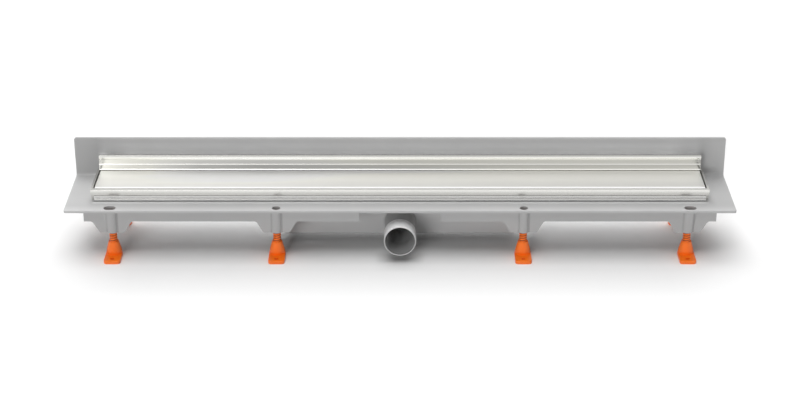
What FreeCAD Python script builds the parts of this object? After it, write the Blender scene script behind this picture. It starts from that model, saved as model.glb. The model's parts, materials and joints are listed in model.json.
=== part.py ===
import FreeCAD, Part
import math
import os
import Sketcher

# Linear shower drain for the wet side of a wall: a moulded channel with a tiling
# flange and a wall flange, a metal cover in a metal frame, a low water trap in the
# sump, a horizontal outlet at the front, and levelling legs with swivel feet.
#
# Build frame: X along the drain, Y back from the front edge of the deck, Z up from
# the deck's top face. Every piece is seated by a Placement into the part's own frame,
# whose origin is on the floor, midway between the front feet and the back of the wall.

doc = FreeCAD.newDocument("LinearShowerDrain")

SIZES = [
    # cover and the frame round it
    ("cover_length", 950.0),
    ("cover_width", 65.3),
    ("cover_sheet", 1.5),
    ("cover_drop", 10.0),
    ("cover_bend", 1.4),
    ("side_gap", 2.0),
    ("end_gap", 1.6),
    ("frame_height", 19.5),
    ("rail_depth", 8.1),
    ("rail_sheet", 2.0),
    ("rail_edge", 0.8),
    ("base_height", 10.8),
    ("base_wall", 1.4),
    ("base_clearance", 0.2),
    ("rib_radius", 1.7),
    ("rib_sunk", 0.5),
    ("lower_rib_height", 3.1),
    ("upper_rib_height", 8.6),
    ("end_strip_thickness", 3.4),
    ("rear_rail_depth", 5.4),
    ("rear_rail_height", 44.0),
    ("rear_rail_sheet", 1.6),
    ("rear_step", 1.2),
    ("lower_ledge", 19.9),
    ("upper_ledge", 28.1),
    ("bead_height", 8.0),
    ("bridge_width", 24.0),
    ("bridge_sheet", 1.5),
    ("bridge_pitch", 260.0),
    ("bridge_clearance", 0.4),
    # deck and wall flange of the channel
    ("deck_front_margin", 33.7),
    ("deck_side_margin", 38.0),
    ("deck_thickness", 4.0),
    ("deck_corner", 4.0),
    ("deck_edge", 0.9),
    ("tile_gap", 19.5),
    ("wall_height", 64.0),
    ("wall_thickness", 4.0),
    ("wall_corner", 4.0),
    ("wall_fillet", 5.0),
    # skirt, gussets and ribs under the deck
    ("skirt_side_inset", 30.0),
    ("skirt_set_back", 4.0),
    ("skirt_rear_inset", 7.0),
    ("skirt_thickness", 3.0),
    ("skirt_depth", 16.0),
    ("skirt_gap", 127.0),
    ("gusset_top", 31.0),
    ("gusset_bottom", 20.5),
    ("outer_gusset_top", 30.2),
    ("outer_gusset_bottom", 19.4),
    ("gusset_sweep", 6.0),
    ("gusset_corner", 5.0),
    ("rib_thickness", 2.5),
    ("rib_depth", 12.0),
    ("rib_pitch", 68.0),
    ("rib_offset", 59.0),
    ("inner_rib_offset", 71.0),
    # trough and sump
    ("trough_ledge", 4.0),
    ("trough_wall", 3.0),
    ("trough_end_depth", 12.0),
    ("trough_middle_depth", 20.0),
    ("trough_flat_margin", 3.0),
    ("sump_length", 364.0),
    ("sump_front_ledge", 18.2),
    ("sump_back_ledge", 5.0),
    ("sump_wall", 2.5),
    ("sump_depth", 66.5),
    ("sump_corner", 8.0),
    ("sump_edge", 3.0),
    # outlet
    ("outlet_diameter", 50.0),
    ("outlet_wall", 2.0),
    ("outlet_reach", 12.5),
    ("outlet_axis_depth", 46.0),
    ("outlet_edge", 0.8),
    ("neck_diameter", 48.0),
    ("neck_set_back", 15.0),
    ("plug_diameter", 44.8),
    ("plug_length", 11.8),
    ("plug_end_gap", 0.2),
    ("plug_clearance", 0.1),
    ("outlet_bore", 40.0),
    ("bore_taper", 22.0),
    # water trap
    ("trap_offset", 95.0),
    ("trap_ledge", 3.5),
    ("gasket_thickness", 1.5),
    ("inlet_thickness", 2.5),
    ("chute_length", 110.0),
    ("chute_width", 20.0),
    ("chute_wall", 1.6),
    ("cup_length", 130.0),
    ("cup_clearance", 1.0),
    ("cup_wall", 1.8),
    ("cup_height", 33.0),
    ("cup_corner", 4.0),
    ("seal_depth", 22.0),
    ("strainer_thickness", 1.6),
    ("strainer_overlap", 3.0),
    ("strainer_slot", 3.0),
    ("strainer_pitch", 6.0),
    # levelling legs
    ("inner_leg_place", 191.0),
    ("outer_leg_inset", 43.0),
    ("front_leg_inset", 10.1),
    ("rear_leg_inset", 12.5),
    ("boss_diameter", 18.8),
    ("boss_drop", 39.0),
    ("outer_slot_run", 6.0),
    ("outer_slot_foot", 0.6),
    ("screw_diameter", 12.4),
    ("screw_clearance", 0.3),
    ("screw_top_depth", 15.0),
    ("screw_recess", 6.0),
    ("screw_recess_depth", 6.0),
    ("screw_edge", 0.8),
    ("stem_gap", 16.5),
    ("ball_radius", 5.6),
    ("ball_height", 9.0),
    ("ball_clearance", 0.3),
    ("ball_neck", 4.0),
    ("throat_clearance", 0.5),
    ("screw_seat", 3.5),
    ("mouth_clearance", 0.4),
    ("mouth_floor", 1.0),
    ("foot_height", 24.5),
    ("foot_diameter", 24.2),
    ("foot_ledge", 0.4),
    ("foot_ledge_height", 7.5),
    ("foot_shoulder", 10.0),
    ("foot_rounding", 14.0),
    ("foot_mouth_wall", 1.1),
    ("tab_width", 25.4),
    ("tab_thickness", 5.0),
    ("tab_reach", 33.6),
    ("tab_corner", 5.0),
    ("tab_edge", 0.5),
    ("tab_hole", 7.0),
    ("tab_hole_reach", 24.6),
]

sheet = doc.addObject("Spreadsheet::Sheet", "Sizes")
for row, (size_name, size_value) in enumerate(SIZES, start=1):
    sheet.set(f"A{row}", size_name)
    sheet.set(f"B{row}", str(size_value))
    sheet.setAlias(f"B{row}", size_name)
doc.recompute()


class Measure:
    """A length as a formula on the sheet, together with its present value."""

    def __init__(self, text, value):
        self.text = text
        self.value = value

    def __add__(self, other):
        other = measure(other)
        return Measure(f"({self.text} + {other.text})", self.value + other.value)

    def __sub__(self, other):
        other = measure(other)
        return Measure(f"({self.text} - {other.text})", self.value - other.value)

    def __mul__(self, factor):
        return Measure(f"({self.text} * {factor})", self.value * factor)

    def __truediv__(self, divisor):
        return Measure(f"({self.text} / {divisor})", self.value / divisor)

    def __neg__(self):
        return Measure(f"(0 - {self.text})", -self.value)


def measure(number):
    """A Measure stays as it is, and a plain number becomes one."""
    if isinstance(number, Measure):
        return number
    return Measure(str(number), number)


class Sheet:
    """Reads each size of the sheet by its name."""

    def __getattr__(self, name):
        return Measure(f"Sizes.{name}", float(getattr(sheet, name)))


size = Sheet()
ZERO = measure(0.0)
PAST = 1.0

# Places along X, as half lengths
strip_inner = size.cover_length / 2 + size.end_gap
frame_half = strip_inner + size.end_strip_thickness
deck_half = frame_half + size.deck_side_margin
skirt_half = deck_half - size.skirt_side_inset
trough_half = strip_inner - size.trough_ledge
sump_half = size.sump_length / 2
trough_flat_half = sump_half + size.trap_ledge + size.trough_flat_margin
gap_half = size.skirt_gap / 2
outer_leg_place = skirt_half - size.outer_leg_inset

# Places along Y, from the front edge of the deck
rail_front = size.deck_front_margin
rail_back = rail_front + size.rail_depth
cover_front = rail_back + size.side_gap
cover_back = cover_front + size.cover_width
rear_front = cover_back + size.side_gap
rear_back = rear_front + size.rear_rail_depth
wall_face = rear_back + size.tile_gap
wall_back = wall_face + size.wall_thickness
trough_front = rail_back + size.trough_ledge
trough_back = rear_front - size.trough_ledge
sump_front = trough_front + size.sump_front_ledge
sump_back = trough_back - size.sump_back_ledge
sump_middle = (sump_front + sump_back) / 2
skirt_back = size.skirt_set_back + size.skirt_thickness
rear_skirt_back = wall_back - size.skirt_rear_inset
rear_skirt_front = rear_skirt_back - size.skirt_thickness
rear_leg_place = wall_face - size.rear_leg_inset
tab_front = size.front_leg_inset - size.tab_reach

# Places along Z, from the top of the deck
deck_inside = -size.deck_thickness / 2
skirt_bottom = -(size.deck_thickness + size.skirt_depth)
boss_bottom = -size.boss_drop
trough_floor = -size.trough_middle_depth
sump_floor = -size.sump_depth
outlet_axis = -size.outlet_axis_depth
gasket_top = trough_floor + size.gasket_thickness
inlet_top = gasket_top + size.inlet_thickness
cup_rim = sump_floor + size.cup_height
chute_bottom = cup_rim - size.seal_depth
cover_seat = size.frame_height - size.cover_drop

# The build frame's own place over the floor
seat_y = -(tab_front + wall_back) / 2
seat_z = size.foot_height + size.stem_gap + size.boss_drop
bore_radius = size.screw_diameter / 2 + size.screw_clearance

parts = []


def new_body(name):
    """A part design body whose Label names its file."""
    body = doc.addObject("PartDesign::Body", name)
    body.Label = name
    return body


def finish(piece, name, x=ZERO, y=ZERO, z=ZERO, rotation=None):
    """Seats a finished piece: its own frame's place in the build frame, over the floor."""
    if rotation is not None:
        piece.Placement = FreeCAD.Placement(FreeCAD.Vector(), rotation)
    piece.Label = name
    piece.setExpression("Placement.Base.x", x.text)
    piece.setExpression("Placement.Base.y", (y + seat_y).text)
    piece.setExpression("Placement.Base.z", (z + seat_z).text)
    parts.append(piece)


def origin_feature(body, role):
    """One of the body's own origin planes or axes."""
    for feature in body.Origin.OriginFeatures:
        if feature.Role == role:
            return feature
    raise ValueError(role)


def new_sketch(body, plane, offset):
    """A sketch on an origin plane, moved along the plane's normal by offset."""
    sketch = body.newObject("Sketcher::SketchObject", "Sketch")
    sketch.AttachmentSupport = [(origin_feature(body, plane), "")]
    sketch.MapMode = "FlatFace"
    sketch.setExpression("AttachmentOffset.Base.z", offset.text)
    return sketch


def bind(sketch, constraint, formula):
    """Adds a constraint with a size and ties it to the sheet."""
    index = sketch.addConstraint(constraint)
    name = f"size_{index}"
    sketch.renameConstraint(index, name)
    sketch.setExpression(f"Constraints.{name}", formula.text)


def hold(sketch, item, point, x, y):
    """Holds one point of a sketch item at x, y from the sketch's origin."""
    bind(sketch, Sketcher.Constraint("DistanceX", -1, 1, item, point, x.value), x)
    bind(sketch, Sketcher.Constraint("DistanceY", -1, 1, item, point, y.value), y)


def draw_polygon(sketch, corners):
    """A closed outline of straight lines through the corners."""
    first = sketch.GeometryCount
    count = len(corners)
    points = [FreeCAD.Vector(x.value, y.value, 0) for x, y in corners]
    for index in range(count):
        line = Part.LineSegment(points[index], points[(index + 1) % count])
        sketch.addGeometry(line, False)
    for index in range(count):
        following = first + (index + 1) % count
        sketch.addConstraint(Sketcher.Constraint("Coincident", first + index, 2, following, 1))
    for index, (x, y) in enumerate(corners):
        hold(sketch, first + index, 1, x, y)


def draw_polygons(sketch, outlines):
    """Several closed outlines in one sketch."""
    for corners in outlines:
        draw_polygon(sketch, corners)


def draw_circle(sketch, x, y, radius):
    """A circle about x, y."""
    centre = FreeCAD.Vector(x.value, y.value, 0)
    item = sketch.addGeometry(Part.Circle(centre, FreeCAD.Vector(0, 0, 1), radius.value), False)
    hold(sketch, item, 3, x, y)
    bind(sketch, Sketcher.Constraint("Radius", item, radius.value), radius)


def draw_slot(sketch, start, end, radius, upright=False):
    """A round-ended slot between two centres on a line along X, or along Y if upright."""
    normal = FreeCAD.Vector(0, 0, 1)
    turn = math.pi / 2 if upright else 0.0
    first_centre = FreeCAD.Vector(start[0].value, start[1].value, 0)
    last_centre = FreeCAD.Vector(end[0].value, end[1].value, 0)
    across = FreeCAD.Vector(-math.sin(turn), math.cos(turn), 0) * radius.value
    first_round = Part.Circle(first_centre, normal, radius.value)
    last_round = Part.Circle(last_centre, normal, radius.value)
    half = math.pi / 2
    items = [
        sketch.addGeometry(Part.ArcOfCircle(first_round, turn + half, turn + 3 * half), False),
        sketch.addGeometry(Part.LineSegment(first_centre - across, last_centre - across), False),
        sketch.addGeometry(Part.ArcOfCircle(last_round, turn - half, turn + half), False),
        sketch.addGeometry(Part.LineSegment(last_centre + across, first_centre + across), False),
    ]
    for index in range(4):
        following = items[(index + 1) % 4]
        sketch.addConstraint(Sketcher.Constraint("Tangent", items[index], 2, following, 1))
    sketch.addConstraint(Sketcher.Constraint("Equal", items[0], items[2]))
    hold(sketch, items[0], 3, start[0], start[1])
    hold(sketch, items[2], 3, end[0], end[1])
    bind(sketch, Sketcher.Constraint("Radius", items[0], radius.value), radius)


def rectangle(x0, x1, y0, y1):
    """The corners of a rectangle."""
    return [(x0, y0), (x1, y0), (x1, y1), (x0, y1)]


def extrude(body, kind, plane, start, length, draw, *outline):
    """Pads or pockets an outline along its plane's normal, from start over length.

    The normals are +Z for XY_Plane, -Y for XZ_Plane and +X for YZ_Plane.
    """
    before = body.Shape.Volume if body.Tip else 0.0
    sketch = new_sketch(body, plane, start)
    draw(sketch, *outline)
    feature = body.newObject(f"PartDesign::{kind}", kind)
    feature.Profile = sketch
    feature.setExpression("Length", length.text)
    feature.Reversed = kind == "Pocket"
    doc.recompute()
    change = body.Shape.Volume - before
    if change * (-1 if kind == "Pocket" else 1) <= 0:
        raise ValueError(f"{kind} {feature.Name} of {body.Label} changes nothing")
    return feature


def pad(body, plane, start, length, draw, *outline):
    return extrude(body, "Pad", plane, start, length, draw, *outline)


def pocket(body, plane, start, length, draw, *outline):
    return extrude(body, "Pocket", plane, start, length, draw, *outline)


def along_y(body, kind, front, back, draw, *outline):
    """Pads or pockets an outline drawn in X and Z, between two places along Y."""
    return extrude(body, kind, "XZ_Plane", -back, back - front, draw, *outline)


def revolve(body, draw, *outline):
    """Turns an outline drawn in radius and height round the body's Z axis."""
    sketch = new_sketch(body, "XZ_Plane", ZERO)
    draw(sketch, *outline)
    feature = body.newObject("PartDesign::Revolution", "Revolution")
    feature.Profile = sketch
    feature.ReferenceAxis = (origin_feature(body, "Z_Axis"), [""])
    feature.Angle = 360
    doc.recompute()
    return feature


def loft(body, kind, sections):
    """Joins slots at several heights, each (height, start, end, radius), into one form."""
    before = body.Shape.Volume
    sketches = []
    for height, start, end, radius in sections:
        sketch = new_sketch(body, "XY_Plane", height)
        upright = start[0].text == end[0].text
        draw_slot(sketch, start, end, radius, upright)
        sketches.append(sketch)
    feature = body.newObject(f"PartDesign::{kind}", kind)
    feature.Profile = sketches[0]
    feature.Sections = sketches[1:]
    feature.Ruled = True
    doc.recompute()
    change = body.Shape.Volume - before
    if change * (-1 if kind == "SubtractiveLoft" else 1) <= 0:
        raise ValueError(f"{kind} of {body.Label} changes nothing")


def spans(box, axis, low, high):
    """True if a bounding box runs from low to high along an axis."""
    small = 0.02
    lowest = getattr(box, f"{axis}Min")
    highest = getattr(box, f"{axis}Max")
    return abs(lowest - low) < small and abs(highest - high) < small


def dress(body, kind, radius, **places):
    """Fillets the edges that lie wholly at the given places, such as X=[...] and Z=[...].

    A key such as along="Y" keeps only the edges that run that way.
    """
    doc.recompute()
    base = body.Tip
    along = places.pop("along", None)
    names = []
    for number, edge in enumerate(base.Shape.Edges, start=1):
        box = edge.BoundBox
        wanted = True
        for axis, values in places.items():
            wanted = wanted and any(spans(box, axis, v.value, v.value) for v in values)
        if along is not None:
            others = [axis for axis in "XYZ" if axis != along]
            flat = all(getattr(box, f"{axis}Length") < 0.02 for axis in others)
            wanted = wanted and flat and getattr(box, f"{along}Length") > 0.02
        if wanted:
            names.append(f"Edge{number}")
    if not names:
        raise ValueError(f"{body.Label} has no edge at {places}")
    feature = body.newObject(f"PartDesign::{kind}", kind)
    feature.Base = (base, names)
    bound = "Size" if kind == "Chamfer" else "Radius"
    feature.setExpression(bound, radius.text)
    doc.recompute()
    return feature


def mirror_pair(place):
    """A place on both sides of the middle."""
    return [-place, place]


def outer_gusset_outline():
    """The skirt's outline at the right outer leg, from its gusset to the skirt's end."""
    outer = outer_leg_place
    return [
        (outer - size.outer_gusset_top, skirt_bottom),
        (outer - size.outer_gusset_bottom, boss_bottom),
        (outer + size.outer_gusset_bottom, boss_bottom),
        (outer + size.outer_gusset_top, skirt_bottom),
        (skirt_half, skirt_bottom),
        (skirt_half, deck_inside),
    ]


def front_skirt_outline(side):
    """Half of the front skirt with its two gussets, drawn in X and Z."""
    inner = size.inner_leg_place
    corners = [
        (gap_half, deck_inside),
        (gap_half, skirt_bottom),
        (inner - size.gusset_top, skirt_bottom),
        (inner - size.gusset_bottom, boss_bottom),
        (inner + size.gusset_bottom, boss_bottom),
        (inner + size.gusset_top, skirt_bottom),
    ]
    return [(x * side, z) for x, z in corners + outer_gusset_outline()]


def rear_skirt_outline():
    """The whole rear skirt with a gusset at each rear leg, drawn in X and Z."""
    right = outer_gusset_outline()
    left = [(-x, z) for x, z in reversed(right)]
    return right + left


def trough_outline(half, end_depth, middle_depth, middle_half, top):
    """The long section of the trough: its floor falls from both ends to the sump."""
    return [
        (-half, top),
        (-half, -end_depth),
        (-middle_half, -middle_depth),
        (middle_half, -middle_depth),
        (half, -end_depth),
        (half, top),
    ]


def make_channel():
    """The moulded channel: deck, wall flange, skirt, trough, sump, neck and bosses."""
    body = new_body("channel_body")
    under = -size.deck_thickness
    length = deck_half * 2
    profile = [
        (ZERO, under),
        (wall_back, under),
        (wall_back, size.wall_height),
        (wall_face, size.wall_height),
        (wall_face, ZERO),
        (ZERO, ZERO),
    ]
    pad(body, "YZ_Plane", -deck_half, length, draw_polygon, profile)
    dress(body, "Fillet", size.wall_fillet, Y=[wall_face], Z=[ZERO], along="X")
    dress(body, "Fillet", size.deck_corner, X=mirror_pair(deck_half), Y=[ZERO], along="Z")
    dress(body, "Fillet", size.wall_corner, X=mirror_pair(deck_half), Z=[size.wall_height], along="Y")
    dress(body, "Fillet", size.deck_edge, Y=[ZERO], Z=[ZERO], along="X")

    # skirt with its gussets, all round under the deck
    for side in (-1, 1):
        along_y(body, "Pad", size.skirt_set_back, skirt_back, draw_polygon, front_skirt_outline(side))
    along_y(body, "Pad", rear_skirt_front, rear_skirt_back, draw_polygon, rear_skirt_outline())
    high_places = []
    low_places = []
    for leg, top, bottom in (
        (size.inner_leg_place, size.gusset_top, size.gusset_bottom),
        (outer_leg_place, size.outer_gusset_top, size.outer_gusset_bottom),
    ):
        high_places += mirror_pair(leg - top) + mirror_pair(leg + top)
        low_places += mirror_pair(leg - bottom) + mirror_pair(leg + bottom)
    dress(body, "Fillet", size.gusset_sweep, X=high_places, Z=[skirt_bottom], along="Y")
    dress(body, "Fillet", size.gusset_corner, X=low_places, Z=[boss_bottom], along="Y")
    for side in (-1, 1):
        low = skirt_half * side if side < 0 else skirt_half - size.skirt_thickness
        outline = rectangle(size.skirt_set_back, rear_skirt_back, skirt_bottom, deck_inside)
        pad(body, "YZ_Plane", low, size.skirt_thickness, draw_polygon, outline)

    # outside of the trough, the sump and the outlet's neck
    trough_wall_front = trough_front - size.trough_wall
    trough_wall_back = trough_back + size.trough_wall
    outline = trough_outline(
        trough_half + size.trough_wall,
        size.trough_end_depth + size.trough_wall,
        size.trough_middle_depth + size.trough_wall,
        trough_flat_half,
        deck_inside,
    )
    along_y(body, "Pad", trough_wall_front, trough_wall_back, draw_polygon, outline)
    sump_bottom = sump_floor - size.sump_wall
    outline = rectangle(
        -(sump_half + size.sump_wall),
        sump_half + size.sump_wall,
        sump_front - size.sump_wall,
        sump_back + size.sump_wall,
    )
    pad(body, "XY_Plane", sump_bottom, trough_floor - sump_bottom, draw_polygon, outline)
    dress(body, "Fillet", size.sump_corner, X=mirror_pair(sump_half + size.sump_wall),
          Y=[sump_front - size.sump_wall, sump_back + size.sump_wall], along="Z")
    dress(body, "Fillet", size.sump_edge, Z=[sump_bottom])
    neck_radius = size.neck_diameter / 2
    neck_back = sump_front - size.sump_wall / 2
    along_y(body, "Pad", size.neck_set_back, neck_back, draw_circle, ZERO, outlet_axis, neck_radius)

    # bosses that the levelling screws run in
    boss_height = size.boss_drop + deck_inside
    boss_radius = size.boss_diameter / 2
    leg_y = size.front_leg_inset
    for x in mirror_pair(size.inner_leg_place):
        pad(body, "XY_Plane", boss_bottom, boss_height, draw_circle, x, leg_y, boss_radius)
    outer_legs = [(side, y) for side in (-1, 1) for y in (leg_y, rear_leg_place)]
    for side, y in outer_legs:
        loft(body, "AdditiveLoft", leg_slots(side, y, boss_radius, boss_bottom, deck_inside))

    # inside of the trough, the sump and the outlet
    outline = trough_outline(
        trough_half, size.trough_end_depth, size.trough_middle_depth, trough_flat_half, measure(PAST)
    )
    along_y(body, "Pocket", trough_front, trough_back, draw_polygon, outline)
    outline = rectangle(-sump_half, sump_half, sump_front, sump_back)
    pocket(body, "XY_Plane", sump_floor, size.sump_depth - size.trough_middle_depth + PAST,
           draw_polygon, outline)
    dress(body, "Fillet", size.sump_corner - size.sump_wall, X=mirror_pair(sump_half),
          Y=[sump_front, sump_back], along="Z")
    socket_depth = size.plug_length + size.plug_end_gap
    socket_radius = size.plug_diameter / 2 + size.plug_clearance
    along_y(body, "Pocket", size.neck_set_back - PAST, size.neck_set_back + socket_depth,
            draw_circle, ZERO, outlet_axis, socket_radius)
    along_y(body, "Pocket", size.neck_set_back, sump_front + PAST,
            draw_circle, ZERO, outlet_axis, size.outlet_bore / 2)

    # bores for the levelling screws, the outer ones opening into slots
    bore_start = boss_bottom - PAST
    bore_length = size.boss_drop + PAST * 2
    for x in mirror_pair(size.inner_leg_place):
        pocket(body, "XY_Plane", bore_start, bore_length, draw_circle, x, leg_y, bore_radius)
    for side, y in outer_legs:
        loft(body, "SubtractiveLoft", leg_slots(side, y, bore_radius, bore_start, measure(PAST)))

    # stiffening ribs between the skirt and the trough
    rib_bottom = -(size.deck_thickness + size.rib_depth)
    rib_half = size.rib_thickness / 2
    rib_places = [size.inner_leg_place - size.inner_rib_offset]
    for index in range(3):
        rib_places.append(size.inner_leg_place + size.rib_offset + size.rib_pitch * index)
    ribs = []
    for place in rib_places:
        for x in mirror_pair(place):
            for front, back in ((skirt_back, trough_wall_front), (trough_wall_back, rear_skirt_front)):
                ribs.append(rectangle(x - rib_half, x + rib_half, front - PAST, back + PAST))
    pad(body, "XY_Plane", rib_bottom, deck_inside - rib_bottom, draw_polygons, ribs)
    finish(body, "channel_body")


def leg_slots(side, y, radius, bottom, top):
    """Sections of an outer boss or its bore: a slot at the deck, nearly round below."""
    sections = []
    for height, run in ((bottom, size.outer_slot_foot), (top, size.outer_slot_run)):
        ends = [(outer_leg_place * side, y), ((outer_leg_place + run) * side, y)]
        if side < 0:
            ends.reverse()
        sections.append((height, ends[0], ends[1], radius))
    return sections


def make_outlet_spigot():
    """Plain pipe stub with a reduced plug that seats in the channel's neck."""
    body = new_body("outlet_spigot")
    outer = size.outlet_diameter / 2
    inner = outer - size.outlet_wall
    plug = size.plug_diameter / 2
    bore = size.outlet_bore / 2
    length = size.neck_set_back + size.outlet_reach
    outline = [
        (bore, -size.plug_length),
        (plug, -size.plug_length),
        (plug, ZERO),
        (outer, ZERO),
        (outer, length - size.outlet_edge),
        (outer - size.outlet_edge, length),
        (inner, length),
        (inner, size.bore_taper),
        (bore, ZERO),
    ]
    revolve(body, draw_polygon, outline)
    to_front = FreeCAD.Rotation(FreeCAD.Vector(1, 0, 0), 90)
    finish(body, "outlet_spigot", y=size.neck_set_back, z=outlet_axis, rotation=to_front)


def make_front_rail():
    """Upper front rail: a folded strip with a face, a top and an inner leg."""
    body = new_body("front_rail")
    sheet_size = size.rail_sheet
    outline = [
        (rail_front, size.base_height),
        (rail_front, size.frame_height),
        (rail_back, size.frame_height),
        (rail_back, ZERO),
        (rail_back - sheet_size, ZERO),
        (rail_back - sheet_size, size.frame_height - sheet_size),
        (rail_front + sheet_size, size.frame_height - sheet_size),
        (rail_front + sheet_size, size.base_height),
    ]
    pad(body, "YZ_Plane", -strip_inner, strip_inner * 2, draw_polygon, outline)
    dress(body, "Fillet", size.rail_edge, Y=[rail_front, rail_back], Z=[size.frame_height], along="X")
    finish(body, "front_rail")


def make_front_rail_base():
    """Hollow extruded base under the front rail, with two half-round ribs on its face."""
    body = new_body("front_rail_base")
    half = size.cover_length / 2
    face = rail_front + size.rib_radius - size.rib_sunk
    back = rail_back - size.rail_sheet - size.base_clearance
    outline = rectangle(face, back, ZERO, size.base_height)
    pad(body, "YZ_Plane", -half, half * 2, draw_polygon, outline)
    for height in (size.lower_rib_height, size.upper_rib_height):
        pad(body, "YZ_Plane", -half, half * 2, draw_circle, rail_front + size.rib_radius, height,
            size.rib_radius)
    inside = rectangle(
        face + size.base_wall + size.rib_sunk,
        back - size.base_wall,
        size.base_wall,
        size.base_height - size.base_wall,
    )
    pocket(body, "YZ_Plane", -half - PAST, half * 2 + PAST * 2, draw_polygon, inside)
    finish(body, "front_rail_base")


def make_rear_rail():
    """Tall rear rail: a stepped web with a half-round bead along its top for the wall tiles."""
    body = new_body("rear_rail")
    web = size.rear_rail_sheet
    step = size.rear_step
    first = rear_front
    second = rear_front + step
    third = rear_front + step * 2
    bead_radius = size.bead_height / 2
    bead_middle = size.rear_rail_height - bead_radius
    outline = [
        (first, ZERO),
        (first, size.lower_ledge),
        (second, size.lower_ledge + step),
        (second, size.upper_ledge),
        (third, size.upper_ledge + step),
        (third, bead_middle),
        (third + web, bead_middle),
        (third + web, size.upper_ledge - web),
        (second + web, size.upper_ledge - web),
        (second + web, size.lower_ledge - web),
        (first + web, size.lower_ledge - web),
        (first + web, ZERO),
    ]
    pad(body, "YZ_Plane", -strip_inner, strip_inner * 2, draw_polygon, outline)
    pad(body, "YZ_Plane", -strip_inner, strip_inner * 2, draw_circle, second + bead_radius, bead_middle,
        bead_radius)
    behind = rectangle(
        rear_back,
        rear_back + size.bead_height,
        bead_middle - size.bead_height,
        bead_middle + size.bead_height,
    )
    pocket(body, "YZ_Plane", -strip_inner - PAST, strip_inner * 2 + PAST * 2, draw_polygon, behind)
    finish(body, "rear_rail")


def make_end_strip(name, side):
    """Flat strip that closes one end of the frame and covers the rails' ends."""
    body = new_body(name)
    outline = [
        (rail_front, size.base_height),
        (rail_front, size.frame_height),
        (rear_back, size.frame_height),
        (rear_back, ZERO),
        (rail_back, ZERO),
        (rail_back, size.base_height),
    ]
    low = strip_inner if side > 0 else -frame_half
    pad(body, "YZ_Plane", low, size.end_strip_thickness, draw_polygon, outline)
    finish(body, name)


def make_cover_plate():
    """Folded cover: a flat top with its edges turned down all round."""
    body = new_body("cover_plate")
    half = size.cover_length / 2
    outline = rectangle(-half, half, cover_front, cover_back)
    pad(body, "XY_Plane", cover_seat, size.cover_drop, draw_polygon, outline)
    dress(body, "Fillet", size.cover_bend, X=mirror_pair(half), Y=[cover_front, cover_back], along="Z")
    dress(body, "Fillet", size.cover_bend, Z=[size.frame_height])
    inside = rectangle(
        size.cover_sheet - half,
        half - size.cover_sheet,
        cover_front + size.cover_sheet,
        cover_back - size.cover_sheet,
    )
    pocket(body, "XY_Plane", cover_seat - PAST, size.cover_drop - size.cover_sheet + PAST,
           draw_polygon, inside)
    finish(body, "cover_plate")


def make_cover_bridge(name, place):
    """Folded channel across the trough that the cover's edges stand on."""
    body = new_body(name)
    half = size.bridge_width / 2
    web = size.bridge_sheet
    outline = [
        (-half, ZERO),
        (-half, cover_seat),
        (half, cover_seat),
        (half, ZERO),
        (half - web, ZERO),
        (half - web, cover_seat - web),
        (web - half, cover_seat - web),
        (web - half, ZERO),
    ]
    front = rail_back + size.bridge_clearance
    back = rear_front - size.bridge_clearance
    along_y(body, "Pad", front, back, draw_polygon, outline)
    finish(body, name, x=place)


def trap_rim():
    """Outline that the gasket and the trap's inlet plate share."""
    lap = size.trap_ledge
    return rectangle(-(sump_half + lap), sump_half + lap, sump_front - lap, sump_back + lap)


def chute_outline(margin):
    """Plan of the chute, grown by a margin all round."""
    half = size.chute_length / 2 + margin
    across = size.chute_width / 2 + margin
    middle = -size.trap_offset
    return rectangle(middle - half, middle + half, sump_middle - across, sump_middle + across)


def make_trap_gasket():
    """Flat rubber frame between the sump's rim and the trap's inlet plate."""
    body = new_body("trap_gasket")
    pad(body, "XY_Plane", trough_floor, size.gasket_thickness, draw_polygon, trap_rim())
    opening = rectangle(-sump_half, sump_half, sump_front, sump_back)
    pocket(body, "XY_Plane", trough_floor - PAST, size.gasket_thickness + PAST * 2,
           draw_polygon, opening)
    finish(body, "trap_gasket")


def make_trap_inlet():
    """Plate over the sump with a chute that dips below the cup's rim."""
    body = new_body("trap_inlet")
    pad(body, "XY_Plane", gasket_top, size.inlet_thickness, draw_polygon, trap_rim())
    drop = gasket_top - chute_bottom
    pad(body, "XY_Plane", chute_bottom, drop + size.inlet_thickness / 2, draw_polygon,
        chute_outline(ZERO))
    pocket(body, "XY_Plane", chute_bottom - PAST, drop + size.inlet_thickness + PAST * 2,
           draw_polygon, chute_outline(-size.chute_wall))
    finish(body, "trap_inlet")


def make_trap_cup():
    """Open cup on the sump's floor that holds the sealing water round the chute."""
    body = new_body("trap_cup")
    middle = -size.trap_offset
    half = size.cup_length / 2
    front = sump_front + size.cup_clearance
    back = sump_back - size.cup_clearance
    outline = rectangle(middle - half, middle + half, front, back)
    pad(body, "XY_Plane", sump_floor, size.cup_height, draw_polygon, outline)
    dress(body, "Fillet", size.cup_corner, X=[middle - half, middle + half], Y=[front, back], along="Z")
    wall = size.cup_wall
    inside = rectangle(middle - half + wall, middle + half - wall, front + wall, back - wall)
    pocket(body, "XY_Plane", sump_floor + wall, size.cup_height, draw_polygon, inside)
    finish(body, "trap_cup")


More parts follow.
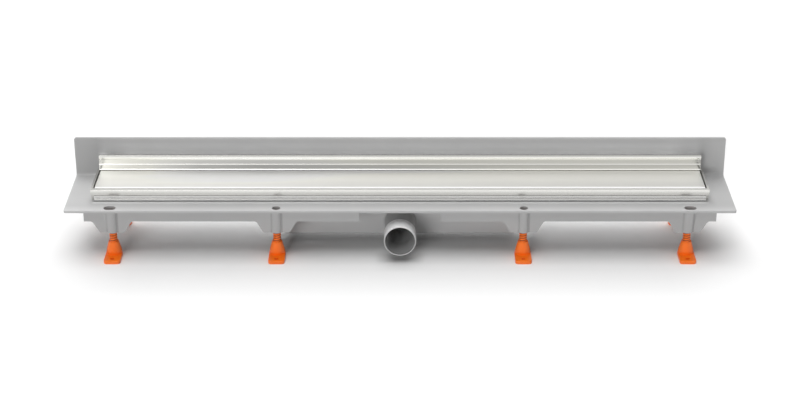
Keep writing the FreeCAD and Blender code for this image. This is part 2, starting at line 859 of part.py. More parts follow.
def make_hair_strainer():
    """Slotted plate over the chute's mouth."""
    body = new_body("hair_strainer")
    thickness = size.strainer_thickness
    pad(body, "XY_Plane", inlet_top, thickness, draw_polygon, chute_outline(size.strainer_overlap))
    inside = size.chute_length - size.chute_wall * 2
    count = int((inside.value - size.strainer_pitch.value) // size.strainer_pitch.value)
    middle = -size.trap_offset
    start = middle - size.strainer_pitch * (count - 1) / 2
    across = size.chute_width / 2 - size.chute_wall - size.strainer_slot
    sketch = new_sketch(body, "XY_Plane", inlet_top - PAST)
    draw_slot(sketch, (start, sump_middle - across), (start, sump_middle + across),
              size.strainer_slot / 2, upright=True)
    slot = body.newObject("PartDesign::Pocket", "Slot")
    slot.Profile = sketch
    slot.setExpression("Length", (thickness + PAST * 2).text)
    slot.Reversed = True
    doc.recompute()
    pattern = body.newObject("PartDesign::LinearPattern", "SlotPattern")
    pattern.Originals = [slot]
    pattern.Direction = (origin_feature(body, "X_Axis"), [""])
    pattern.setExpression("Length", (size.strainer_pitch * (count - 1)).text)
    pattern.Occurrences = count
    body.Tip = pattern
    doc.recompute()
    finish(body, "hair_strainer")


def new_cylinder(name, radius, low, high):
    """A cylinder on the leg's own axis, between two heights over the floor."""
    cylinder = doc.addObject("Part::Cylinder", name)
    cylinder.setExpression("Radius", radius.text)
    cylinder.setExpression("Height", (high - low).text)
    cylinder.setExpression("Placement.Base.z", low.text)
    return cylinder


def new_sphere(name, radius, height):
    """A ball on the leg's own axis, centred at a height over the floor."""
    sphere = doc.addObject("Part::Sphere", name)
    sphere.setExpression("Radius", radius.text)
    sphere.setExpression("Placement.Base.z", height.text)
    return sphere


screw_foot = size.foot_height - size.screw_seat
screw_top = seat_z - size.screw_top_depth


def make_leg_screw(name, x, y):
    """Levelling screw: a shank in the boss, a neck and a ball that snaps into the foot."""
    shank = new_cylinder(f"{name}_shank", size.screw_diameter / 2, screw_foot, screw_top)
    chamfer = doc.addObject("Part::Chamfer", f"{name}_chamfer")
    chamfer.Base = shank
    doc.recompute()
    rims = []
    for number, edge in enumerate(shank.Shape.Edges, start=1):
        if edge.BoundBox.ZLength < 0.01:
            rims.append((number, size.screw_edge.value, size.screw_edge.value))
    chamfer.Edges = rims
    neck = new_cylinder(f"{name}_neck", size.ball_neck, size.ball_height, screw_foot + PAST)
    ball = new_sphere(f"{name}_ball", size.ball_radius, size.ball_height)
    solid = doc.addObject("Part::MultiFuse", f"{name}_solid")
    solid.Shapes = [chamfer, neck, ball]
    recess = doc.addObject("Part::Prism", f"{name}_recess")
    recess.Polygon = 6
    recess.setExpression("Circumradius", (size.screw_recess / math.sqrt(3)).text)
    recess.setExpression("Height", (size.screw_recess_depth + PAST).text)
    recess.setExpression("Placement.Base.z", (screw_top - size.screw_recess_depth).text)
    screw = doc.addObject("Part::Cut", name)
    screw.Base = solid
    screw.Tool = recess
    finish(screw, name, x=x, y=y, z=-seat_z)


def make_leg_foot(name, x, y, turn):
    """Foot: a fixing tab and a bottle-shaped body with the ball's socket."""
    body = new_body(f"{name}_body")
    half = size.tab_width / 2
    outline = rectangle(-half, half, -size.tab_reach, ZERO)
    pad(body, "XY_Plane", ZERO, size.tab_thickness, draw_polygon, outline)
    dress(body, "Fillet", size.tab_corner, X=mirror_pair(half), Y=[-size.tab_reach], along="Z")
    pad(body, "XY_Plane", ZERO, size.tab_thickness, draw_circle, ZERO, ZERO, half)
    dress(body, "Fillet", size.tab_edge, Z=[size.tab_thickness])
    mouth = size.screw_diameter / 2 + size.mouth_clearance
    lower = size.foot_diameter / 2
    upper = lower - size.foot_ledge
    bottle = [
        (ZERO, size.tab_thickness),
        (lower, size.tab_thickness),
        (lower, size.foot_ledge_height),
        (upper, size.foot_ledge_height),
        (upper, size.foot_shoulder),
        (mouth + size.foot_mouth_wall, size.foot_height),
        (ZERO, size.foot_height),
    ]
    revolve(body, draw_polygon, bottle)
    dress(body, "Fillet", size.foot_rounding, Z=[size.foot_shoulder])
    hole_start = -size.tab_hole_reach
    pocket(body, "XY_Plane", -measure(PAST), size.tab_thickness + PAST * 2, draw_circle,
           ZERO, hole_start, size.tab_hole / 2)
    ball = new_sphere(f"{name}_socket", size.ball_radius + size.ball_clearance, size.ball_height)
    throat = new_cylinder(f"{name}_throat", size.ball_neck + size.throat_clearance,
                          size.ball_height, size.foot_height)
    mouth_low = screw_foot - size.mouth_floor
    entry = new_cylinder(f"{name}_mouth", mouth, mouth_low, size.foot_height + PAST)
    socket = doc.addObject("Part::MultiFuse", f"{name}_hollow")
    socket.Shapes = [ball, throat, entry]
    foot = doc.addObject("Part::Cut", name)
    foot.Base = body
    foot.Tool = socket
    rotation = FreeCAD.Rotation(FreeCAD.Vector(0, 0, 1), turn)
    finish(foot, name, x=x, y=y, z=-seat_z, rotation=rotation)


def check_document():
    """Stops if any object failed or any sub-part's shape is empty or broken."""
    doc.recompute()
    for item in doc.Objects:
        if "Invalid" in item.State or "Error" in item.State:
            raise ValueError(f"{item.Name} failed: {item.State}")
    for piece in parts:
        shape = piece.Shape
        if shape.isNull() or not shape.isValid() or not shape.Solids:
            raise ValueError(f"{piece.Label} has no valid shape")


make_channel()
make_outlet_spigot()
make_front_rail()
make_front_rail_base()
make_rear_rail()
make_end_strip("end_strip_left", -1)
make_end_strip("end_strip_right", 1)
make_cover_plate()
for number in range(4):
    make_cover_bridge(f"cover_bridge_{number + 1}", size.bridge_pitch * (number - 1.5))
make_hair_strainer()
make_trap_inlet()
make_trap_gasket()
make_trap_cup()

# Front legs from left to right, then the two rear legs with their tabs turned outwards
LEGS = [
    (-outer_leg_place, size.front_leg_inset, 0),
    (-size.inner_leg_place, size.front_leg_inset, 0),
    (size.inner_leg_place, size.front_leg_inset, 0),
    (outer_leg_place, size.front_leg_inset, 0),
    (-outer_leg_place, rear_leg_place, -90),
    (outer_leg_place, rear_leg_place, 90),
]
for number, (leg_x, leg_y, tab_turn) in enumerate(LEGS, start=1):
    make_leg_screw(f"leg_screw_{number}", leg_x, leg_y)
    make_leg_foot(f"leg_foot_{number}", leg_x, leg_y, tab_turn)

check_document()
os.makedirs("parts", exist_ok=True)
for piece in parts:
    piece.Shape.exportStep(f"parts/{piece.Label}.step")
    print(piece.Label, len(piece.Shape.Solids), round(piece.Shape.Volume))
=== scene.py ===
import json
import math

import bmesh
import bpy
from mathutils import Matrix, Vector


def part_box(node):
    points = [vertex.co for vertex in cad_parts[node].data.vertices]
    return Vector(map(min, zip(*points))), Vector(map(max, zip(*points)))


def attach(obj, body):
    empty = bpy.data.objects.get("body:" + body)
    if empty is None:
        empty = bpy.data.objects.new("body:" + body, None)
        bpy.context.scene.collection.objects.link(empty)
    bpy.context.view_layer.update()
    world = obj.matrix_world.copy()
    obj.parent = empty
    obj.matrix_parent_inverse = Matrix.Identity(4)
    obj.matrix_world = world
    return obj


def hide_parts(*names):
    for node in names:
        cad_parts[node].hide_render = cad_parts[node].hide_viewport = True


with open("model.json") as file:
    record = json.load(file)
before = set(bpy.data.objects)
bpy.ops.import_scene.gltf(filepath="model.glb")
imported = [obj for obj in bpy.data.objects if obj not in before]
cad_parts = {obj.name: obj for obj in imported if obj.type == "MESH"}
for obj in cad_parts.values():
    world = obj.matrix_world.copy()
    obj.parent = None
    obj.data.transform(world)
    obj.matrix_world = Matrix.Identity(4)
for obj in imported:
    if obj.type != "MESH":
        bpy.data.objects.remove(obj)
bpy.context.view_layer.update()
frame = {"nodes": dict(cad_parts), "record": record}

# Linear shower drain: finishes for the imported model, threaded levelling screws, a pale
# floor and soft studio light. Lengths are in metres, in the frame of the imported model:
# X runs along the drain, the outlet points to -Y, and Z is up from the floor.

MM = 0.001
scene = bpy.context.scene


# Node building

# Most of a noise's values lie between these two.
NOISE_LOW = 0.3
NOISE_HIGH = 0.7
NOISE_ROUGHNESS = 0.55


def connect(tree, socket, value):
    """Links another node's output to a socket, or sets the socket to a plain value."""
    if isinstance(value, bpy.types.NodeSocket):
        tree.links.new(value, socket)
    else:
        socket.default_value = value


def node(tree, kind, settings=None, **inputs):
    """Adds a node, sets its own settings and its input values or links."""
    made = tree.nodes.new(kind)
    for key, value in (settings or {}).items():
        setattr(made, key, value)
    for key, value in inputs.items():
        connect(tree, made.inputs[key.replace("_", " ")], value)
    return made


def new_material(name):
    """A material and its empty node tree."""
    material = bpy.data.materials.new(name)
    material.use_nodes = True
    material.node_tree.nodes.clear()
    return material, material.node_tree


def show(tree, shader, kind="ShaderNodeOutputMaterial"):
    """Ends a node tree: the output shows the shader."""
    node(tree, kind, Surface=shader)


def mixed(tree, share, usual, special):
    """The usual shader where the share is 0, and the special one where it is 1."""
    mix = node(tree, "ShaderNodeMixShader", Fac=share)
    tree.links.new(usual, mix.inputs[1])
    tree.links.new(special, mix.inputs[2])
    return mix.outputs["Shader"]


def object_place(tree, scale=(1.0, 1.0, 1.0)):
    """The place on the object, with a scale for each axis."""
    place = node(tree, "ShaderNodeTexCoord").outputs["Object"]
    return node(tree, "ShaderNodeMapping", Vector=place, Scale=scale).outputs["Vector"]


def axes(tree):
    """The place on the object as three values, in metres."""
    place = node(tree, "ShaderNodeTexCoord").outputs["Object"]
    parts = node(tree, "ShaderNodeSeparateXYZ", Vector=place)
    return parts.outputs["X"], parts.outputs["Y"], parts.outputs["Z"]


def noise(tree, place, scale, detail=2.0):
    """A noise value from 0 to 1."""
    return node(tree, "ShaderNodeTexNoise", Vector=place, Scale=scale, Detail=detail,
                Roughness=NOISE_ROUGHNESS).outputs["Fac"]


def remap(tree, value, low, high, start=NOISE_LOW, end=NOISE_HIGH):
    """Spreads a value from start..end over low..high, and holds it there."""
    return node(tree, "ShaderNodeMapRange", Value=value, From_Min=start, From_Max=end,
                To_Min=low, To_Max=high).outputs["Result"]


def tint(tree, value, dark, light):
    """A colour between dark and light."""
    ramp = node(tree, "ShaderNodeValToRGB", Fac=value)
    stops = ((NOISE_LOW, dark), (NOISE_HIGH, light))
    for element, (position, colour) in zip(ramp.color_ramp.elements, stops):
        element.position = position
        element.color = (*colour, 1.0)
    return ramp.outputs["Color"]


def bump(tree, height, distance, strength):
    """A bump from a height value. distance is the real height in metres."""
    return node(tree, "ShaderNodeBump", Height=height, Distance=distance,
                Strength=strength).outputs["Normal"]


def calc(tree, operation, first, second=0.0):
    """The result of an operation on one or two values."""
    made = node(tree, "ShaderNodeMath", {"operation": operation})
    connect(tree, made.inputs[0], first)
    connect(tree, made.inputs[1], second)
    return made.outputs["Value"]


def product(tree, *factors):
    """All the factors multiplied."""
    total = factors[0]
    for factor in factors[1:]:
        total = calc(tree, "MULTIPLY", total, factor)
    return total


# Shades
#
# A shade is a factor for a finish's colour, by the place on the object. It follows how the
# photograph lights the bands, lines and contact shadows of the drain. Every stop is a place
# in mm and the factor there, or the share of another factor there.

def graded(tree, value, stops):
    """A factor that runs straight between its stops, and stays level past the ends."""
    total = stops[0][1]
    for (start, low), (end, high) in zip(stops, stops[1:]):
        if high != low:
            run = remap(tree, value, 0.0, high - low, start * MM, end * MM)
            total = calc(tree, "ADD", run, total)
    return total


def faded(tree, factor, share):
    """Takes a factor towards 1 where its share is small."""
    change = product(tree, calc(tree, "SUBTRACT", factor, 1.0), share)
    return calc(tree, "ADD", change, 1.0)


def shaded(tree, colour, shade):
    """Scales a colour by a shade, if there is one."""
    if shade is None:
        return colour
    return node(tree, "ShaderNodeVectorMath", {"operation": "SCALE"}, Vector=colour,
                Scale=shade(tree)).outputs["Vector"]


# The height of the outlet's axis over the floor.
OUTLET_AXIS = 34.0 * MM


def outlet_distance(tree, x, z):
    """How far a place is above the outlet's axis, and how far it is from that axis."""
    up = calc(tree, "SUBTRACT", z, OUTLET_AXIS)
    squares = calc(tree, "ADD", product(tree, x, x), product(tree, up, up))
    return up, calc(tree, "SQRT", squares)


def wall_shade(tree, x, y, z):
    """The wall flange has painted light behind and above the tall rail's top, against the rail's
    shade, and at its right end.
    """
    length = graded(tree, calc(tree, "ABSOLUTE", x),
                    ((430.0, 1.0), (455.0, 0.6), (470.0, 0.45), (482.0, 0.0)))
    face = graded(tree, y, ((76.5, 0.0), (77.6, 1.0), (78.2, 1.0), (79.2, 0.0)))
    # Painted light where the tall rail shades the wall.
    lift = graded(tree, z, ((104.0, 1.0), (112.0, 1.8), (114.5, 3.3), (116.0, 3.8),
                            (118.0, 3.2), (119.6, 2.35), (123.0, 1.92), (137.0, 1.24)))
    end = graded(tree, x, ((478.0, 1.0), (500.0, 1.08)))
    return product(tree, faded(tree, lift, product(tree, length, face)), faded(tree, end, face))


def deck_shade(tree, x, y, z):
    """The deck's top has painted light towards its front left.

    In front of the front rail it has a painted light line, and then the rail's painted contact
    shadow.
    """
    front = graded(tree, y, ((-58.0, 1.2), (-50.0, 1.13), (-40.0, 1.0)))
    side = graded(tree, x, ((-518.0, 1.2), (-480.0, 1.15), (-400.0, 1.05), (0.0, 1.01),
                            (518.0, 1.0)))
    line = graded(tree, y, ((-35.0, 1.0), (-31.5, 1.2), (-29.0, 1.7), (-27.0, 1.85),
                            (-26.3, 0.8), (-22.6, 0.75), (-21.8, 1.0)))
    along = graded(tree, calc(tree, "ABSOLUTE", x), ((474.0, 1.0), (480.0, 0.0)))
    at_top = graded(tree, z, ((76.0, 0.0), (79.8, 1.0), (81.0, 1.0), (83.0, 0.0)))
    return faded(tree, product(tree, front, side, faded(tree, line, along)), at_top)


# The middles of the four front bosses along X, and the stops from there for the shadow in
# the crease on each side of a boss, in mm.
FRONT_BOSSES = (-445.0, -191.0, 191.0, 445.0)
BOSS_CREASES = ((-9.6, 0.95), (-8.2, 0.817), (-6.8, 0.817), (-5.6, 0.95),
                (5.4, 0.95), (7.4, 0.722), (9.0, 0.684), (10.2, 0.95))


def under_shade(tree, x, y, z):
    """The skirt's front has a painted shadow in the crease on each side of a boss.

    What is behind the skirt's front has a little painted light, and the outlet's neck has painted
    shade in its bore and close round the pipe.
    """
    behind = faded(tree, graded(tree, z, ((70.0, 1.15), (74.0, 1.0))),
                   graded(tree, y, ((-48.0, 0.0), (-46.0, 1.0))))
    away = outlet_distance(tree, x, z)[1]
    neck = faded(tree, graded(tree, away, ((20.3, 0.75), (20.6, 1.0), (23.5, 0.78),
                                           (24.5, 0.78), (27.0, 1.0))),
                 graded(tree, y, ((41.0, 1.0), (43.0, 0.0))))
    creases = [(boss + place, factor) for boss in FRONT_BOSSES for place, factor in BOSS_CREASES]
    at_front = product(tree, graded(tree, z, ((73.0, 1.0), (76.5, 0.0))),
                       graded(tree, y, ((-46.0, 1.0), (-44.0, 0.0))))
    return product(tree, behind, neck, faded(tree, graded(tree, x, creases), at_front))


def channel_shade(tree):
    """Painted light and shade on the channel's wall flange, its deck and what is under the deck, each
    in its own way.
    """
    place = axes(tree)
    return product(tree, wall_shade(tree, *place), under_shade(tree, *place),
                   deck_shade(tree, *place))


def outlet_shade(tree):
    """The outlet pipe's top has painted light, and its bore and its rim have painted shade."""
    x, y, z = axes(tree)
    up, away = outlet_distance(tree, x, z)
    bore = graded(tree, away, ((23.1, 0.54), (23.7, 1.0)))
    outside = graded(tree, up, ((0.0, 1.0), (18.0, 1.28)))
    rim = graded(tree, up, ((-24.0, 0.9), (-6.0, 0.75), (12.0, 0.75), (24.0, 0.84)))
    at_rim = graded(tree, y, ((-70.3, 1.0), (-69.7, 0.0)))
    return product(tree, bore, outside, faded(tree, rim, at_rim))


def tall_rail_shade(tree, x, z):
    """The tall rail's bead has a painted highlight with painted shade along its top, and its web a
    darker painted reflection than its bead and its ledges.

    At its left end the web's painted reflection is lighter, and the ledges have painted shade.
    """
    bead = graded(tree, z, ((115.8, 1.0), (117.2, 1.1), (118.2, 1.18), (120.6, 1.16),
                            (121.4, 0.84), (122.8, 0.6), (123.6, 0.46)))
    web = graded(tree, z, ((100.3, 1.3), (100.8, 0.88), (101.6, 0.41), (107.6, 0.41),
                           (108.3, 0.76), (109.2, 0.76), (109.8, 0.56), (115.4, 0.56),
                           (116.2, 1.0)))
    # How much of the web's painted reflection shows along the rail; below 0 at the left end it turns
    # to painted light.
    painted_reflection_share = graded(tree, x, ((-472.0, -0.4), (-455.0, -0.1), (-425.0, 0.25), (-380.0, 0.55),
                            (-317.0, 0.85), (-220.0, 1.0), (0.0, 0.93), (220.0, 0.72),
                            (470.0, 0.6)))
    left = graded(tree, x, ((-450.0, 0.6), (-380.0, 0.6), (-317.0, 0.68), (-200.0, 0.85),
                            (-60.0, 1.0)))
    at_ledge = graded(tree, z, ((100.2, 0.0), (100.7, 1.0), (101.0, 1.0), (101.6, 0.0),
                                (107.6, 0.0), (108.3, 1.0), (109.2, 1.0), (109.8, 0.0)))
    return product(tree, bead, faded(tree, web, painted_reflection_share), faded(tree, left, at_ledge))


def rail_shade(tree):
    """The tall rail has its own painted light and shade, and the front rail's face and edge have a
    little painted shade.
    """
    x, y, z = axes(tree)
    at_tall = graded(tree, y, ((50.5, 0.0), (52.0, 1.0)))
    front_face = faded(tree, graded(tree, z, ((92.0, 1.0), (93.5, 0.94), (96.3, 0.94),
                                              (97.2, 1.0))),
                       graded(tree, y, ((0.0, 1.0), (2.0, 0.0))))
    front_top = graded(tree, y, ((-22.8, 1.0), (-21.8, 0.87), (-19.4, 0.87), (-18.6, 1.0)))
    return product(tree, front_face, front_top,
                   faded(tree, tall_rail_shade(tree, x, z), at_tall))


def base_shade(tree):
    """The front rail's base has painted highlights on its two ribs, and painted shade below, between
    and above them.
    """
    z = axes(tree)[2]
    return graded(tree, z, ((80.0, 0.7), (80.7, 0.9), (81.1, 1.7), (82.6, 1.7), (83.0, 0.74),
                            (84.4, 0.74), (85.6, 0.85), (86.3, 1.55), (87.5, 1.55),
                            (88.2, 0.98), (89.2, 0.95), (89.7, 0.6)))


# The most that the cover's painted light may lift its colour.
COVER_LIMIT = 1.28


def cover_shade(tree):
    """The cover has painted light to the left, a painted highlight along its front edge and, off its
    left end, painted light to the back.
    """
    x, y, _ = axes(tree)
    side = graded(tree, x, ((-470.0, 1.13), (-220.0, 1.10), (-100.0, 1.03), (317.0, 0.90)))
    depth = graded(tree, y, ((-11.2, 1.5), (-10.6, 1.0), (0.0, 1.05), (30.0, 1.06),
                             (40.0, 0.98), (50.0, 0.92)))
    back = graded(tree, y, ((-4.0, 1.0), (3.0, 1.03), (12.0, 1.1), (30.0, 1.13), (38.0, 1.2),
                            (46.0, 1.4)))
    off_left = graded(tree, x, ((-440.0, 0.0), (-380.0, 0.5), (-220.0, 1.0)))
    total = product(tree, side, depth, faded(tree, back, off_left))
    return calc(tree, "MINIMUM", total, COVER_LIMIT)


# The screws' meshes carry this layer: 0 on a thread's crest and 1 at its root.
GROOVE_LAYER = "groove"
# How much painted shade darkens the colour at a thread's root.
GROOVE_PAINTED_SHADE = 0.6


def thread_shade(tree):
    """Painted shade in the grooves of the screws. Other pieces have no such layer."""
    layer = node(tree, "ShaderNodeAttribute", {"attribute_name": GROOVE_LAYER})
    return calc(tree, "SUBTRACT", 1.0, product(tree, layer.outputs["Fac"], GROOVE_PAINTED_SHADE))


def floor_shade(tree):
    """The floor has a painted soft shadow in front of the drain, and deeper painted shadow under its
    sump and its pipe.
    """
    x, y, _ = axes(tree)
    aside = calc(tree, "ABSOLUTE", x)
    near = faded(tree, graded(tree, y, ((-240.0, 1.0), (-190.0, 0.965), (-160.0, 0.92),
                                        (-130.0, 0.895), (-100.0, 0.905), (-84.0, 1.0))),
                 graded(tree, aside, ((410.0, 1.0), (520.0, 0.0))))
    sump = faded(tree, graded(tree, y, ((-60.0, 1.0), (-40.0, 0.9), (-20.0, 0.78),
                                        (5.0, 0.78), (30.0, 1.0))),
                 graded(tree, aside, ((170.0, 1.0), (240.0, 0.0))))
    pipe = faded(tree, graded(tree, y, ((-110.0, 1.0), (-88.0, 0.9), (-81.0, 0.82),
                                        (-77.5, 0.73), (-74.0, 0.56), (-71.0, 0.45),
                                        (-67.0, 0.45), (-60.0, 0.55), (-50.0, 0.65),
                                        (-35.0, 1.0))),
                 graded(tree, aside, ((8.0, 1.0), (22.0, 0.5), (40.0, 0.0))))
    return product(tree, near, sump, pipe)


# Finishes
#
# The scales are those of the noise by place in metres. A spread is what the noise adds to
# the roughness at its low and at its high end.

SKIN_SCALE = 1600.0
SKIN_HEIGHT = 0.02 * MM
SKIN_STRENGTH = 0.35
CLOUD_SCALE = 14.0
FLOW_SCALE = 9.0
FLOW_STRETCH = (1.0, 7.0, 7.0)
PLASTIC_SPREAD = (-0.04, 0.05)

SCRATCH_SCALE = 2600.0
SCRATCH_STRETCH = (0.0004, 1.0, 1.0)
SCRATCH_STRENGTH = 0.3
BAND_SCALE = 22.0
BAND_STRETCH = (0.1, 1.0, 1.0)
METAL_SPREAD = (-0.03, 0.04)

DUST_SCALE = 900.0
DUST_DETAIL = 3.0
DUST_HEIGHT = 0.03 * MM
DUST_STRENGTH = 1.0


def gloss(tree, value, roughness, spread):
    """A roughness that varies with a noise value."""
    return remap(tree, value, roughness + spread[0], roughness + spread[1])


def moulded_plastic(name, dark, light, roughness, shine=0.4, shade=None):
    """Matte moulded plastic: a very fine eroded skin, slight clouds and soft flow marks."""
    material, tree = new_material(name)
    place = object_place(tree)
    cloud = noise(tree, place, CLOUD_SCALE)
    skin = noise(tree, place, SKIN_SCALE)
    flow = noise(tree, object_place(tree, FLOW_STRETCH), FLOW_SCALE)
    shader = node(tree, "ShaderNodeBsdfPrincipled",
                  Base_Color=shaded(tree, tint(tree, cloud, dark, light), shade),
                  Roughness=gloss(tree, flow, roughness, PLASTIC_SPREAD),
                  Normal=bump(tree, skin, SKIN_HEIGHT, SKIN_STRENGTH),
                  Specular_IOR_Level=shine)
    show(tree, shader.outputs["BSDF"])
    return material


def brushed_metal(name, dark, light, roughness, depth, shade=None):
    """Steel or aluminium, brushed along X. depth is the real depth of its scratches."""
    material, tree = new_material(name)
    scratches = noise(tree, object_place(tree, SCRATCH_STRETCH), SCRATCH_SCALE)
    bands = noise(tree, object_place(tree, BAND_STRETCH), BAND_SCALE)
    shader = node(tree, "ShaderNodeBsdfPrincipled", Metallic=1.0,
                  Base_Color=shaded(tree, tint(tree, bands, dark, light), shade),
                  Roughness=gloss(tree, scratches, roughness, METAL_SPREAD),
                  Normal=bump(tree, scratches, depth, SCRATCH_STRENGTH))
    show(tree, shader.outputs["BSDF"])
    return material


def soft_rubber(name, dark, light, roughness):
    """Black rubber with a dusty surface."""
    material, tree = new_material(name)
    dust = noise(tree, object_place(tree), DUST_SCALE, DUST_DETAIL)
    shader = node(tree, "ShaderNodeBsdfPrincipled", Roughness=roughness,
                  Base_Color=tint(tree, dust, dark, light),
                  Normal=bump(tree, dust, DUST_HEIGHT, DUST_STRENGTH))
    show(tree, shader.outputs["BSDF"])
    return material


# A shade given to a finish paints light and shade into its colour.
FINISH_OF = {
    "channel_plastic": moulded_plastic(
        "channel_plastic", (0.42, 0.42, 0.42), (0.44, 0.44, 0.44), 0.5, shade=channel_shade),
    "outlet_plastic": moulded_plastic(
        "outlet_plastic", (0.62, 0.62, 0.62), (0.65, 0.65, 0.65), 0.4, shade=outlet_shade),
    "trap_plastic": moulded_plastic(
        "trap_plastic", (0.60, 0.60, 0.58), (0.64, 0.64, 0.62), 0.45),
    "leg_plastic": moulded_plastic(
        "leg_plastic", (0.98, 0.175, 0.007), (1.0, 0.195, 0.01), 0.36, shine=0.6,
        shade=thread_shade),
    "rail_steel": brushed_metal(
        "rail_steel", (0.80, 0.795, 0.76), (0.85, 0.845, 0.81), 0.2, 0.0005 * MM,
        shade=rail_shade),
    "base_aluminium": brushed_metal(
        "base_aluminium", (0.78, 0.777, 0.755), (0.82, 0.817, 0.795), 0.24, 0.0005 * MM,
        shade=base_shade),
    "cover_steel": brushed_metal(
        "cover_steel", (0.80, 0.795, 0.76), (0.85, 0.845, 0.81), 0.42, 0.003 * MM,
        shade=cover_shade),
    "bridge_steel": brushed_metal(
        "bridge_steel", (0.55, 0.55, 0.545), (0.62, 0.62, 0.61), 0.34, 0.006 * MM),
    "seal_rubber": soft_rubber(
        "seal_rubber", (0.02, 0.02, 0.02), (0.05, 0.05, 0.05), 0.7),
}

for entry in frame["record"]["subparts"]:
    piece = frame["nodes"][entry["node"]]
    piece.data.materials.clear()
    piece.data.materials.append(FINISH_OF[entry["material_slot"]])


# Threaded levelling screws

LEG_COUNT = 6
SCREW_CREST = 6.15 * MM
SCREW_ROOT = 5.3 * MM
THREAD_PITCH = 4.0 * MM
THREAD_RUN_OUT = 1.6 * MM
# Of the wave that rises from 0 in a groove to 1 on a crest, where a flank starts and how
# much of it the flank takes.
FLANK_START = 0.36
FLANK_SHARE = 0.28
SHANK_FOOT = 21.0 * MM
TOP_CHAMFER = 0.4 * MM
NECK_RADIUS = 4.0 * MM
NECK_CHAMFER = 0.3 * MM
BALL_RADIUS = 5.6 * MM
BALL_HEIGHT = 9.0 * MM
HEX_ANGLE = math.pi / 3.0
HEX_HALF_WIDTH = 3.0 * MM
HEX_DEPTH = 6.0 * MM
HEX_CHAMFER = 0.3 * MM
RING_POINTS = 40
RING_STEP = 0.25 * MM
BALL_RINGS = 14


def thread_radius(turns, height, low, high):
    """The radius of the threaded shank at a height, in a direction given as turns."""
    phase = (height / THREAD_PITCH - turns) % 1.0
    wave = 1.0 - abs(2.0 * phase - 1.0)
    tooth = min(1.0, max(0.0, (wave - FLANK_START) / FLANK_SHARE))
    fade = max(0.0, min(1.0, (height - low) / THREAD_RUN_OUT, (high - height) / THREAD_RUN_OUT))
    return SCREW_ROOT + (SCREW_CREST - SCREW_ROOT) * tooth * fade


def hexagon_radius(turns):
    """The radius of the hexagon recess in a direction given as turns."""
    within = (turns * 2.0 * math.pi) % HEX_ANGLE - HEX_ANGLE / 2.0
    return HEX_HALF_WIDTH / math.cos(within)


def round_radius(radius):
    """The same radius in every direction."""
    return lambda turns: radius


def screw_profile(low, high, top):
    """The screw's rings from the floor of its recess, over its top and down to its ball.

    Each ring is a height and a function that gives its radius in a direction. The threaded
    shank runs from low to high.
    """
    rings = [
        (top - HEX_DEPTH, hexagon_radius),
        (top - HEX_CHAMFER, hexagon_radius),
        (top, lambda turns: hexagon_radius(turns) + HEX_CHAMFER),
        (top, round_radius(SCREW_ROOT - TOP_CHAMFER)),
        (high, round_radius(SCREW_ROOT)),
    ]
    count = int((high - low) / RING_STEP)
    for index in range(1, count):
        height = high - (high - low) * index / count
        rings.append((height, lambda turns, height=height: thread_radius(turns, height, low, high)))
    neck_end = BALL_HEIGHT + math.sqrt(BALL_RADIUS ** 2 - NECK_RADIUS ** 2)
    rings.append((low, round_radius(SCREW_ROOT)))
    rings.append((low - NECK_CHAMFER, round_radius(NECK_RADIUS)))
    rings.append((neck_end, round_radius(NECK_RADIUS)))
    start = math.asin(NECK_RADIUS / BALL_RADIUS)
    for index in range(1, BALL_RINGS):
        polar = start + (math.pi - start) * index / BALL_RINGS
        rings.append((BALL_HEIGHT + BALL_RADIUS * math.cos(polar),
                      round_radius(BALL_RADIUS * math.sin(polar))))
    return rings


def mark_grooves(data, axis_x, axis_y, low, high):
    """Writes the layer for the depth in the thread to a screw's mesh."""
    groove = data.attributes.new(GROOVE_LAYER, "FLOAT", "POINT")
    for vertex in data.vertices:
        if low <= vertex.co.z <= high:
            radius = math.hypot(vertex.co.x - axis_x, vertex.co.y - axis_y)
            depth = (SCREW_CREST - radius) / (SCREW_CREST - SCREW_ROOT)
            groove.data[vertex.index].value = min(1.0, max(0.0, depth))


def threaded_screw(name, axis_x, axis_y, top):
    """A mesh screw: hexagon recess, threaded shank, neck and ball, on the CAD screw's axis."""
    low, high = SHANK_FOOT, top - TOP_CHAMFER
    mesh = bmesh.new()
    rings = []
    for height, radius_at in screw_profile(low, high, top):
        ring = []
        for step in range(RING_POINTS):
            angle = 2.0 * math.pi * step / RING_POINTS
            radius = radius_at(step / RING_POINTS)
            ring.append(mesh.verts.new((axis_x + radius * math.cos(angle),
                                        axis_y + radius * math.sin(angle), height)))
        rings.append(ring)
    for upper, lower in zip(rings, rings[1:]):
        for step in range(RING_POINTS):
            after = (step + 1) % RING_POINTS
            mesh.faces.new((upper[step], lower[step], lower[after], upper[after]))
    mesh.faces.new(rings[0])
    mesh.faces.new(list(reversed(rings[-1])))
    bmesh.ops.recalc_face_normals(mesh, faces=mesh.faces)
    data = bpy.data.meshes.new(name)
    mesh.to_mesh(data)
    mesh.free()
    mark_grooves(data, axis_x, axis_y, low, high)
    for polygon in data.polygons:
        polygon.use_smooth = True
    made = bpy.data.objects.new(name, data)
    scene.collection.objects.link(made)
    data.materials.append(FINISH_OF["leg_plastic"])
    return made


for number in range(1, LEG_COUNT + 1):
    cad_name = f"leg_screw_{number}"
    low_corner, high_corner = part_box(cad_name)
    middle = (low_corner + high_corner) / 2
    screw = threaded_screw(f"threaded_screw_{number}", middle.x, middle.y, high_corner.z)
    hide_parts(cad_name)
    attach(screw, f"screw_{number}")


# Floor, light and camera

# The floor and the world have one value for the light that they throw on the drain, and
# one for what the camera sees of them.
WHITE = (1.0, 1.0, 1.0, 1.0)
FLOOR_HALF_WIDTH = 14.0
FLOOR_LIGHT = (0.92, 0.92, 0.92, 1.0)
FLOOR_SEEN = (0.97, 0.97, 0.97)
WORLD_LIGHT = 0.02
WORLD_SEEN = 1.0
LAMP_DISTANCE = 2.0
CAMERA_PLACE = (0.0, -2.7225, 1.3275)
CAMERA_TILT = 65.234
CAMERA_LENS = 86.11
CAMERA_SENSOR = 36.0


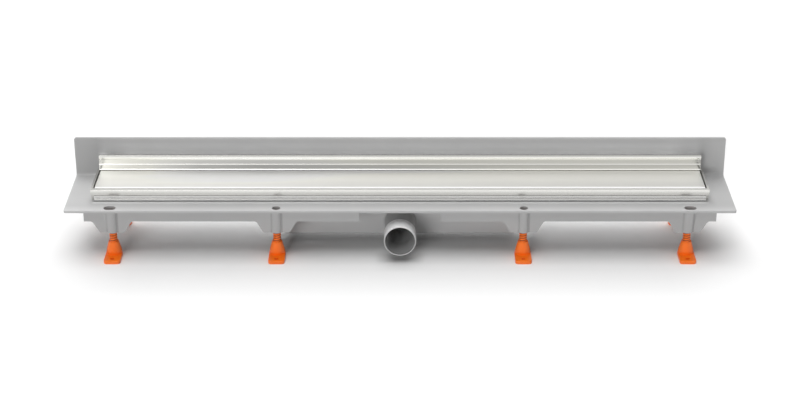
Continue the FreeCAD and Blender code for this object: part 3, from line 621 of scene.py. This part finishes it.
def studio_floor():
    """A large pale floor that keeps the shadow and runs out to white for the camera."""
    half = FLOOR_HALF_WIDTH
    mesh = bpy.data.meshes.new("studio_floor")
    mesh.from_pydata([(-half, -half, 0.0), (half, -half, 0.0), (half, half, 0.0), (-half, half, 0.0)],
                     [], [(0, 1, 2, 3)])
    floor = bpy.data.objects.new("studio_floor", mesh)
    scene.collection.objects.link(floor)
    material, tree = new_material("studio_floor")
    rays = node(tree, "ShaderNodeLightPath")
    light = node(tree, "ShaderNodeBsdfDiffuse", Color=FLOOR_LIGHT)
    # What the camera sees of the floor carries painted shadows in front of and under the drain.
    seen = node(tree, "ShaderNodeBsdfDiffuse", Color=shaded(tree, FLOOR_SEEN, floor_shade))
    show(tree, mixed(tree, rays.outputs["Is Camera Ray"], light.outputs["BSDF"],
                     seen.outputs["BSDF"]))
    mesh.materials.append(material)


def studio_world():
    """White to the camera and in reflections, and a plain grey light on the object."""
    world = bpy.data.worlds.new("studio")
    scene.world = world
    world.use_nodes = True
    tree = world.node_tree
    tree.nodes.clear()
    rays = node(tree, "ShaderNodeLightPath")
    mirrored = calc(tree, "MAXIMUM", rays.outputs["Is Glossy Ray"],
                    rays.outputs["Is Transmission Ray"])
    in_view = calc(tree, "MAXIMUM", rays.outputs["Is Camera Ray"], mirrored)
    light = node(tree, "ShaderNodeBackground", Color=WHITE, Strength=WORLD_LIGHT)
    seen = node(tree, "ShaderNodeBackground", Color=WHITE, Strength=WORLD_SEEN)
    show(tree, mixed(tree, in_view, light.outputs["Background"], seen.outputs["Background"]),
         "ShaderNodeOutputWorld")


def soft_sun(name, turn, height, width, strength, mirrored):
    """A distant lamp, wide enough for soft shadows.

    turn is its side in degrees, from the front towards the left, height its angle over the
    floor, width its own angle across, and strength the light that a face turned to it gets.
    A lamp that isn't mirrored leaves no shine on the metal.
    """
    data = bpy.data.lights.new(name, "SUN")
    data.angle = math.radians(width)
    data.energy = strength * math.pi
    lamp = bpy.data.objects.new(name, data)
    level = math.cos(math.radians(height))
    towards = Vector((-level * math.sin(math.radians(turn)),
                      -level * math.cos(math.radians(turn)),
                      math.sin(math.radians(height))))
    lamp.location = towards * LAMP_DISTANCE
    lamp.rotation_mode = "QUATERNION"
    lamp.rotation_quaternion = (-towards).to_track_quat("-Z", "Y")
    lamp.visible_glossy = mirrored
    scene.collection.objects.link(lamp)


def studio_camera():
    """The photograph's own view, without shift, roll or depth of field."""
    data = bpy.data.cameras.new("camera")
    data.lens = CAMERA_LENS
    data.sensor_width = CAMERA_SENSOR
    camera = bpy.data.objects.new("camera", data)
    camera.location = CAMERA_PLACE
    camera.rotation_euler = (math.radians(CAMERA_TILT), 0.0, 0.0)
    scene.collection.objects.link(camera)
    scene.camera = camera


studio_floor()
studio_world()
soft_sun("top", turn=0.0, height=90.0, width=60.0, strength=0.53, mirrored=False)
soft_sun("front", turn=20.0, height=13.0, width=24.0, strength=0.335, mirrored=False)
soft_sun("key", turn=35.0, height=62.0, width=20.0, strength=0.08, mirrored=True)
soft_sun("back", turn=180.0, height=45.0, width=60.0, strength=0.40, mirrored=False)
soft_sun("back_left", turn=135.0, height=50.0, width=50.0, strength=0.15, mirrored=False)
studio_camera()
scene.view_settings.view_transform = "Standard"
